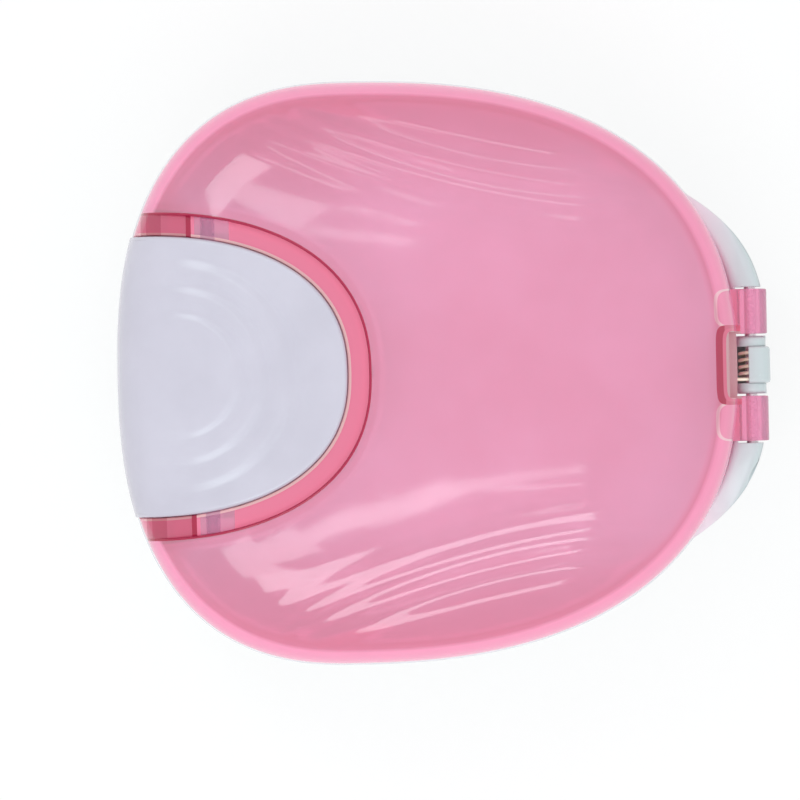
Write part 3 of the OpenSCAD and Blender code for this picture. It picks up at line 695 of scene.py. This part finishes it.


class Nodes:
    """Small helper for filling a node tree."""

    def __init__(self, tree, out="ShaderNodeOutputMaterial"):
        self.tree = tree
        self.tree.nodes.clear()
        self.out = self.add(out)

    def add(self, kind, inputs=None, **props):
        node = self.tree.nodes.new(kind)
        for k, v in props.items():
            setattr(node, k, v)
        for k, v in (inputs or {}).items():
            self.put(node, k, v)
        return node

    def put(self, node, key, value):
        socket = node.inputs[key]
        if isinstance(value, bpy.types.NodeSocket):
            self.tree.links.new(value, socket)
        elif isinstance(value, bpy.types.Node):
            self.tree.links.new(value.outputs[0], socket)
        else:
            socket.default_value = value

    def math(self, op, *values):
        node = self.add("ShaderNodeMath", operation=op)
        for i, v in enumerate(values):
            self.put(node, i, v)
        return node.outputs[0]

    def both(self, a, b):
        return self.math("MULTIPLY", a, b)

    def most(self, first, *others):
        for other in others:
            first = self.math("MAXIMUM", first, other)
        return first

    def without(self, a):
        return self.math("SUBTRACT", 1.0, a)

    def mix(self, fac, a, b):
        """Between the colours a and b; an 8-bit colour is a plain tuple."""
        node = self.add("ShaderNodeMix", data_type="RGBA")
        for key, value in ((0, fac), (6, a), (7, b)):
            self.put(node, key, srgb(value) if isinstance(value, tuple) else value)
        return node.outputs[2]

    def noise(self, scale, detail, rough):
        node = self.add("ShaderNodeTexNoise", {"Scale": scale, "Detail": detail, "Roughness": rough})
        self.put(node, "Vector", self.coords())
        return node.outputs["Fac"]

    def bump(self, height, distance, strength, normal=None):
        """Relief from a height between 0 and 1, at most distance mm deep."""
        node = self.add("ShaderNodeBump", {"Strength": strength, "Distance": distance * MM, "Height": height})
        if normal is not None:
            self.put(node, "Normal", normal)
        return node

    def coords(self):
        return self.add("ShaderNodeTexCoord").outputs["Object"]

    def split(self, vector):
        return self.add("ShaderNodeSeparateXYZ", {0: vector}).outputs

    def range(self, value, a, b, c, d):
        """c where the value is a, d where it is b."""
        node = self.add("ShaderNodeMapRange", {"Value": value, 1: a, 2: b, 3: c, 4: d})
        return node.outputs[0]

    def shown(self):
        """1 for rays that show what they meet: straight from the camera, mirrored or through the plastic."""
        ray = self.add("ShaderNodeLightPath").outputs
        return self.most(ray["Is Camera Ray"], ray["Is Glossy Ray"], ray["Is Transmission Ray"])


def srgb(colour):
    def lin(v):
        v /= 255
        return v / 12.92 if v <= 0.04045 else ((v + 0.055) / 1.055) ** 2.4
    return tuple(lin(v) for v in colour) + (1.0,)


def new_material(name):
    mat = bpy.data.materials.new(name)
    mat.use_nodes = True
    return mat, Nodes(mat.node_tree)


def white_plastic(name, light, dark, rough=0.24, rear=None):
    """Injection-moulded white plastic: slight flow marks, soft sheen and rubbed edges."""
    mat, n = new_material(name)
    cloud = n.noise(90, 4, 0.55)
    fine = n.noise(2600, 2, 0.6)
    scuff = n.noise(620, 5, 0.65)
    colour = n.mix(n.range(cloud, 0.35, 0.68, 0, 1), dark, light)
    if rear:
        # greyer and darker towards the hinge
        y = n.split(n.coords())["Y"]
        colour = n.mix(n.range(y, (REAR_Y - 5) * MM, REAR_Y * MM, 0, 1), colour, rear)
    bevel = n.add("ShaderNodeBevel", {"Radius": 0.16 * MM}, samples=6)
    relief = n.bump(fine, 0.012, 0.35, bevel)
    wave = n.bump(cloud, 0.05, 0.5, relief)
    shader = n.add("ShaderNodeBsdfPrincipled", {
        "Base Color": colour, "Roughness": n.range(scuff, 0.25, 0.8, rough - 0.03, rough + 0.05),
        "IOR": 1.5, "Normal": wave, "Subsurface Weight": 0.12, "Subsurface Radius": (0.6, 0.5, 0.55),
        "Subsurface Scale": 1.6 * MM, "Coat Weight": 0.12, "Coat Roughness": 0.12,
    })
    n.put(n.out, "Surface", shader)
    return mat


class LidZones:
    """Masks on the lid, 1 inside a zone and 0 outside it. Sizes are in mm, x is the same on both sides."""

    def __init__(self, n):
        self.n = n
        place = n.split(n.coords())
        self.x, self.y, self.z = n.math("ABSOLUTE", place["X"]), place["Y"], place["Z"]

    def rows(self, low, high):
        """Between two places along the case."""
        n = self.n
        return n.both(n.math("GREATER_THAN", self.y, low * MM), n.math("LESS_THAN", self.y, high * MM))

    def above(self, z):
        return self.n.math("GREATER_THAN", self.z, z * MM)

    def rounded(self, across, half, along, deep, square):
        """Inside a squarish curve: half wide, and deep long from where along is 0."""
        n = self.n
        a = n.math("POWER", n.math("DIVIDE", across, half * MM), square)
        b = n.math("POWER", n.math("DIVIDE", n.math("MAXIMUM", along, 0.0), deep * MM), square)
        return n.math("LESS_THAN", n.math("ADD", a, b), 1.0)

    def button(self, e):
        """Inside the button's outline moved outwards by e."""
        along = self.n.math("SUBTRACT", self.y, BTN_Y0 * MM)
        return self.rounded(self.x, BTN_W + e, along, BTN_LEN + e, BTN_SQ)

    def ring(self, inner, outer):
        """Between the button's outline moved outwards by inner and by outer."""
        return self.n.both(self.button(outer), self.n.without(self.button(inner)))

    def notch(self, side, ahead):
        """Round the hinge's notch on the lid's shelf, open to the rear."""
        n = self.n
        along = n.math("SUBTRACT", REAR_Y * MM, self.y)
        frame = self.rounded(self.x, NOTCH_HW + side, along, REAR_Y - NOTCH_Y + ahead, NOTCH_SQ)
        on_shelf = n.both(self.above(SHELF_Z - 0.1), n.math("LESS_THAN", self.y, (HINGE_Y - 1.5) * MM))
        return n.both(frame, on_shelf)

    def root(self, inset):
        """Over the root of a knuckle on the lid's top, drawn in by inset."""
        n = self.n
        across = n.math("ABSOLUTE", n.math("SUBTRACT", self.x, ROOT_MID * MM))
        along = n.math("SUBTRACT", REAR_Y * MM, self.y)
        shape = self.rounded(across, ROOT_HW - inset / 2, along, REAR_Y - ROOT_Y - inset, ROOT_SQ)
        return n.both(shape, self.above(TRAY_H + 7.5))

    def knuckle(self):
        n = self.n
        from_inner = n.math("GREATER_THAN", self.x, (KNUCKLE_X - 0.1) * MM)
        to_outer = n.math("LESS_THAN", self.x, (KNUCKLE_X + KNUCKLE_W + 0.1) * MM)
        behind = n.math("GREATER_THAN", self.y, (REAR_Y - 0.2) * MM)
        return n.both(n.both(from_inner, to_outer), behind)

    def rim(self):
        """The lid's side, from where the dome bends down."""
        n = self.n
        from_wide = n.math("SUBTRACT", self.y, WIDE_Y * MM)
        longer = n.both(n.math("GREATER_THAN", from_wide, 0.0), (REAR_LEN - FRONT_LEN) * MM)
        reach = n.math("ADD", longer, (FRONT_LEN - LID_SETBACK) * MM)
        a = n.math("POWER", n.math("DIVIDE", self.x, (CASE_W / 2 - LID_SETBACK) * MM), RIM_SQ)
        b = n.math("POWER", n.math("DIVIDE", n.math("ABSOLUTE", from_wide), reach), RIM_SQ)
        outwards = n.math("POWER", n.math("ADD", a, b), 1 / RIM_SQ)
        return n.range(outwards, RIM_FROM, RIM_FULL, 0, 1)

    # painted shade: the veil turns a darker pink where the dome turns steep, towards its sides and front
    def steep(self):
        n = self.n
        beside = n.range(self.x, STEEP_X[0] * MM, STEEP_X[1] * MM, 0, 1)
        return n.most(beside, n.range(self.y, STEEP_Y[0] * MM, STEEP_Y[1] * MM, 0, 1))


def clear_pink(name):
    """Clear glossy plastic dyed pink all through, with a light milky veil that is denser where the lid is
    thick, and with faint flow lines. The veil's colour also holds painted shade and painted light."""
    mat, n = new_material(name)
    zones = LidZones(n)

    # the ledge, with the latch's hooks, the brackets and the stubs that show through it
    ledge = zones.button(LEDGE_OUT + 0.06)
    at_side = n.both(ledge, n.math("LESS_THAN", zones.y, (CURTAIN_Y - 0.05) * MM))
    bracket = n.both(at_side, zones.rows(*BRACKET_SEEN))
    ledge = n.both(ledge, n.without(bracket))
    hook = n.both(at_side, zones.rows(*HOOK_SEEN))
    core = n.both(at_side, zones.rows(*CORE_SEEN))
    barb = n.both(at_side, zones.rows(*BARB_SEEN))
    stub = n.both(at_side, zones.rows(*STUB_SEEN))
    step = zones.ring(*STEP_RING)
    upward = n.split(n.add("ShaderNodeTexCoord").outputs["Normal"])["Z"]
    brim = n.both(zones.ring(*BRIM_RING), n.range(upward, 0.2, 0.5, 0, 1))

    # the notch for the hinge, and the knuckles beside it
    notch, inner, plate = zones.notch(*WALL_SEEN), zones.notch(*STEP_SEEN), zones.notch(*PLATE_SEEN)
    notch_wall, notch_step = n.math("SUBTRACT", notch, inner), n.math("SUBTRACT", inner, plate)
    far_in = n.math("LESS_THAN", zones.y, (NOTCH_Y - 0.6) * MM)
    wall_share = n.math("ADD", n.both(far_in, DARK_FAR), DARK_WALL)
    knuckle, root = zones.knuckle(), zones.root(0.0)
    # painted highlight: a light rim round the knuckles' roots on the lid's top
    glint = n.math("SUBTRACT", root, zones.root(ROOT_EDGE))
    # painted light: the lid's side is painted a bright pink for the light that runs through its wall
    rim = n.both(zones.rim(), n.without(knuckle))

    # painted shade in dark red on the step round the button and on the hinge notch's wall and step, with the
    # hooks' deep dye where they show through the ledge
    dark = n.most(n.both(hook, DARK_HOOK), n.both(core, DARK_CORE), barb, step,
                  n.both(notch_wall, wall_share), n.both(notch_step, DARK_STEP))
    flow = n.noise(38, 3, 0.5)
    streaks = n.range(flow, 0.32, 0.7, 0, 1)
    milk = n.mix(streaks, MILK, MILK_LIGHT)
    for zone, amount, colour in (
        (zones.steep(), 1, SHADE_STEEP), (rim, 1, PAINTED_RIM_LIGHT),
        (root, 0.35, MILK_ROOT), (glint, 0.75, PAINTED_GLINT), (knuckle, 1, MILK_KNUCKLE),
        (notch, 1, MILK_THICK), (ledge, 1, MILK_THICK), (brim, 1, MILK_BRIM),
        (plate, 1, MILK_PLATE), (stub, 0.55, MILK_STUB), (dark, 1, DEEP_DYE_AND_SHADE),
    ):
        milk = n.mix(n.both(zone, amount), milk, colour)

    # the lid's side is dense where it is seen edge-on, clear where it is seen straight on
    edge_on = n.add("ShaderNodeLayerWeight", {"Blend": 0.5}).outputs["Facing"]
    side_veil = n.both(rim, n.range(edge_on, 0.12, 0.42, VEIL_SIDE, VEIL_SIDE_EDGE))
    plain_veil = n.range(knuckle, 0, 1, VEIL, VEIL_KNUCKLE)
    share_milk = n.most(plain_veil, n.both(n.most(ledge, notch), VEIL_THICK), side_veil,
                        n.both(brim, VEIL_BRIM), n.both(dark, VEIL_DARK))

    bump = n.bump(flow, 0.2, 0.4, n.bump(n.noise(1500, 2, 0.5), 0.006, 0.25))
    rough = n.range(n.noise(480, 5, 0.6), 0.3, 0.75, 0.045, 0.11)
    look = {"Roughness": rough, "IOR": LID_IOR, "Normal": bump}
    tint = n.mix(streaks, (252, 242, 247), (255, 247, 251))
    body = n.add("ShaderNodeBsdfPrincipled", {"Base Color": tint, "Transmission Weight": 1.0, **look})
    veil = n.add("ShaderNodeBsdfPrincipled", {"Base Color": milk, **look})
    mixed = n.add("ShaderNodeMixShader", {"Fac": share_milk, 1: body, 2: veil})
    # light that only passes through goes straight on
    clear = n.add("ShaderNodeBsdfTransparent", {"Color": srgb((247, 240, 244))})
    in_shadow = n.add("ShaderNodeLightPath").outputs["Is Shadow Ray"]
    n.put(n.out, "Surface", n.add("ShaderNodeMixShader", {"Fac": in_shadow, 1: mixed, 2: clear}))
    n.put(n.out, "Volume", n.add("ShaderNodeVolumeAbsorption", {"Color": DYE, "Density": DYE_DENSITY}))
    return mat


def steel(name, light, dark, rough, metal):
    """Drawn wire: fine lines along it, darker in places."""
    mat, n = new_material(name)
    streak = n.noise(1400, 4, 0.6)
    patch = n.noise(260, 3, 0.5)
    shader = n.add("ShaderNodeBsdfPrincipled", {
        "Base Color": n.mix(n.range(patch, 0.35, 0.7, 0, 1), light, dark), "Metallic": metal,
        "Roughness": n.range(streak, 0.3, 0.7, rough - 0.06, rough + 0.08),
        "Normal": n.bump(streak, 0.012, 0.4),
    })
    n.put(n.out, "Surface", shader)
    return mat


tray_white = white_plastic("tray_white", (235, 236, 241), (228, 230, 236), rear=(200, 210, 213))
button_white = white_plastic("button_white", (202, 197, 211), (196, 191, 205), rough=0.22)
pink = clear_pink("lid_pink")
spring_metal = steel("spring_metal", (255, 248, 228), (240, 226, 196), rough=0.42, metal=0.5)
pin_metal = steel("pin_metal", (238, 238, 240), (220, 220, 224), rough=0.26, metal=0.6)

# ---------------------------------------------------------------- pieces
tray = finish(build_tray(), tray_white)
tray.name = "tray_shell"
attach(tray, "tray_body")
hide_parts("tray")

lid = finish(build_lid(), pink)
lid.name = "lid_shell"
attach(lid, "lid_body")
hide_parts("lid")

button = finish(build_button(), button_white)
button.name = "button_shell"
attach(button, "button_body")
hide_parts("push_button")

coil = finish(wire("hinge_coil", hinge_spring_path(), HINGE_WIRE / 2), spring_metal)
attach(coil, "tray_body")
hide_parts("hinge_spring")

coil = finish(wire("button_coil", button_spring_path(), BTN_WIRE / 2), spring_metal)
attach(coil, "tray_body")
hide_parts("button_spring")
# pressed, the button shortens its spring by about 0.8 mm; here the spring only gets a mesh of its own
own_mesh(coil)

pin = finish(build_pin(), pin_metal)
pin.name = "pin_rod"
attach(pin, "tray_body")
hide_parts("hinge_pin")

# ---------------------------------------------------------------- stage, light and camera
FLOOR_HW, FLOOR_Z, FLOOR_CARD = 900, -0.05, 0.25   # half width, height, and share that shows the shadow
SKY_LOW, SKY_OVERHEAD, SKY_FALL = 0.75, 0.34, 5.0  # brightness all round, more overhead, and how it falls off
STRIP_H, STRIP_COLOUR = 600.0, (0.84, 1.0, 1.0)    # height of the softboxes above the lid, and their colour
LID_MID_Z = 30.0

# each softbox's name, its two ends as tangents from straight up, its width as a tangent and its brightness
STRIPS = (
    ("soft_near_right", (0.165, 0.065), (0.338, -0.129), 0.058, 3.0),
    ("soft_far_right", (0.334, -0.122), (0.47, -0.32), 0.12, 2.7),
    ("soft_end_right", (0.46, -0.31), (0.68, -0.64), 0.22, 2.5),
    ("soft_tail_right", (0.163, 0.06), (0.188, 0.32), 0.018, 2.6),
    ("soft_fork_right", (0.168, 0.06), (0.262, 0.33), 0.018, 2.6),
    ("soft_low_right", (0.74, -0.45), (0.64, 0.44), 0.36, 3.6),
    ("soft_near_left", (-0.335, -0.035), (-0.265, 0.035), 0.022, 1.9),
    ("soft_fork_left", (-0.26, -0.10), (-0.20, 0.025), 0.03, 1.9),
    ("soft_far_left", (-0.30, -0.085), (-0.56, -0.45), 0.11, 2.2),
    ("soft_end_left", (-0.55, -0.44), (-0.97, -0.80), 0.42, 3.0),
    ("soft_arm_left", (-0.98, -0.42), (-0.53, 0.01), 0.05, 1.8),
    ("soft_low_left", (-0.90, -0.10), (-0.66, 0.44), 0.24, 1.7),
)

# the camera looks straight down, a little off the case's middle, with the hinge to the right
CAM_LENS, CAM_SENSOR, CAM_PLACE = 320.4, 36, (3.914, -6.347, 1022.0)
CAM_TURN = 0.02094                                 # sine of the turn about the view's axis


def floor_white():
    """White ground that shows only a faint shadow."""
    mat, n = new_material("floor_white")
    glow = n.add("ShaderNodeEmission", {"Color": (1, 1, 1, 1), "Strength": 1.0})
    card = n.add("ShaderNodeBsdfDiffuse", {"Color": (0.9, 0.9, 0.9, 1)})
    faint = n.add("ShaderNodeMixShader", {"Fac": FLOOR_CARD, 1: glow, 2: card})
    n.put(n.out, "Surface", n.add("ShaderNodeMixShader", {"Fac": n.shown(), 1: card, 2: faint}))
    return mat


def studio():
    """White all round where it is seen, and softer light from low down than from overhead."""
    world = bpy.data.worlds.new("studio")
    world.use_nodes = True
    n = Nodes(world.node_tree, "ShaderNodeOutputWorld")
    up_z = n.split(n.add("ShaderNodeTexCoord").outputs["Generated"])["Z"]
    overhead = n.math("POWER", n.math("MAXIMUM", up_z, 0.0), SKY_FALL)
    level = n.math("MULTIPLY_ADD", overhead, SKY_OVERHEAD, SKY_LOW)
    strength = n.add("ShaderNodeMix", {"Factor": n.shown(), "A": level, "B": 1.0})
    n.put(n.out, "Surface", n.add("ShaderNodeBackground", {"Color": (1, 1, 1, 1), "Strength": strength}))
    return world


def softbox(name, start, end, width, radiance):
    """Evenly bright level strip between two places high over the case."""
    a, b = (Vector((p[0] * STRIP_H, p[1] * STRIP_H, STRIP_H + LID_MID_Z)) for p in (start, end))
    lamp = bpy.data.lights.new(name, "AREA")
    lamp.shape = "RECTANGLE"
    lamp.size, lamp.size_y = (b - a).length * MM, width * STRIP_H * MM
    lamp.energy = radiance * math.pi * lamp.size * lamp.size_y
    lamp.color = STRIP_COLOUR
    obj = bpy.data.objects.new(name, lamp)
    bpy.context.scene.collection.objects.link(obj)
    obj.location = (a + b) / 2 * MM
    obj.rotation_euler = (0, 0, math.atan2(b.y - a.y, b.x - a.x))


def camera():
    cam = bpy.data.cameras.new("camera")
    cam.sensor_fit, cam.sensor_width, cam.lens = "HORIZONTAL", CAM_SENSOR, CAM_LENS
    cam.clip_start, cam.clip_end = 0.01, 20
    obj = bpy.data.objects.new("camera", cam)
    bpy.context.scene.collection.objects.link(obj)
    level = math.sqrt(1 - CAM_TURN ** 2)
    right, up = Vector((CAM_TURN, level, 0)), Vector((-level, CAM_TURN, 0))
    back = right.cross(up)
    pose = obj.matrix_world.copy()
    for i in range(3):
        pose[i][0], pose[i][1], pose[i][2], pose[i][3] = right[i], up[i], back[i], CAM_PLACE[i] * MM
    obj.matrix_world = pose
    return obj


floor = new_object("floor", [(x, y, FLOOR_Z) for x, y in ((-FLOOR_HW, -FLOOR_HW), (FLOOR_HW, -FLOOR_HW),
                                                          (FLOOR_HW, FLOOR_HW), (-FLOOR_HW, FLOOR_HW))],
                   [(0, 1, 2, 3)])
floor.data.materials.append(floor_white())
for row in STRIPS:
    softbox(*row)
bpy.context.scene.world = studio()
bpy.context.scene.camera = camera()
bpy.context.scene.view_settings.view_transform = "Standard"
